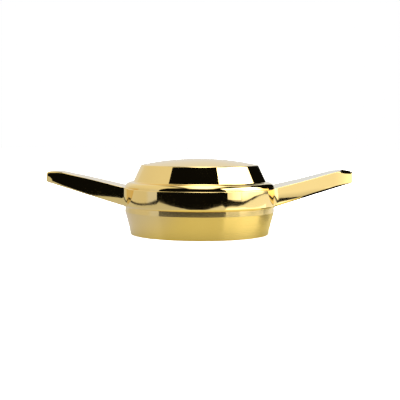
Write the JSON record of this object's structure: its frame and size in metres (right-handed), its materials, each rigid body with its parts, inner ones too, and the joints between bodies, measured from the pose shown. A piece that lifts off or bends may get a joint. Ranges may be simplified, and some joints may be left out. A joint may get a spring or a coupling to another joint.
{
  "type": "wire wheel spinner",
  "caption": "Two-eared knock-off spinner: a tapered, domed wheel nut with a blind threaded bore and two upswept ears for a mallet, in polished gold-plated brass.",
  "frame": {"origin": "centre of the bottom rim, on the thread axis", "axes": "+Z along the thread axis from the rim towards the dome, +X along one ear"},
  "size_m": [0.2084, 0.1068, 0.0517],
  "materials": {
    "gold_plate": "gold plated over polished brass"
  },
  "bodies": {
    "root": {"spinner": "gold_plate"}
  },
  "joints": []
}
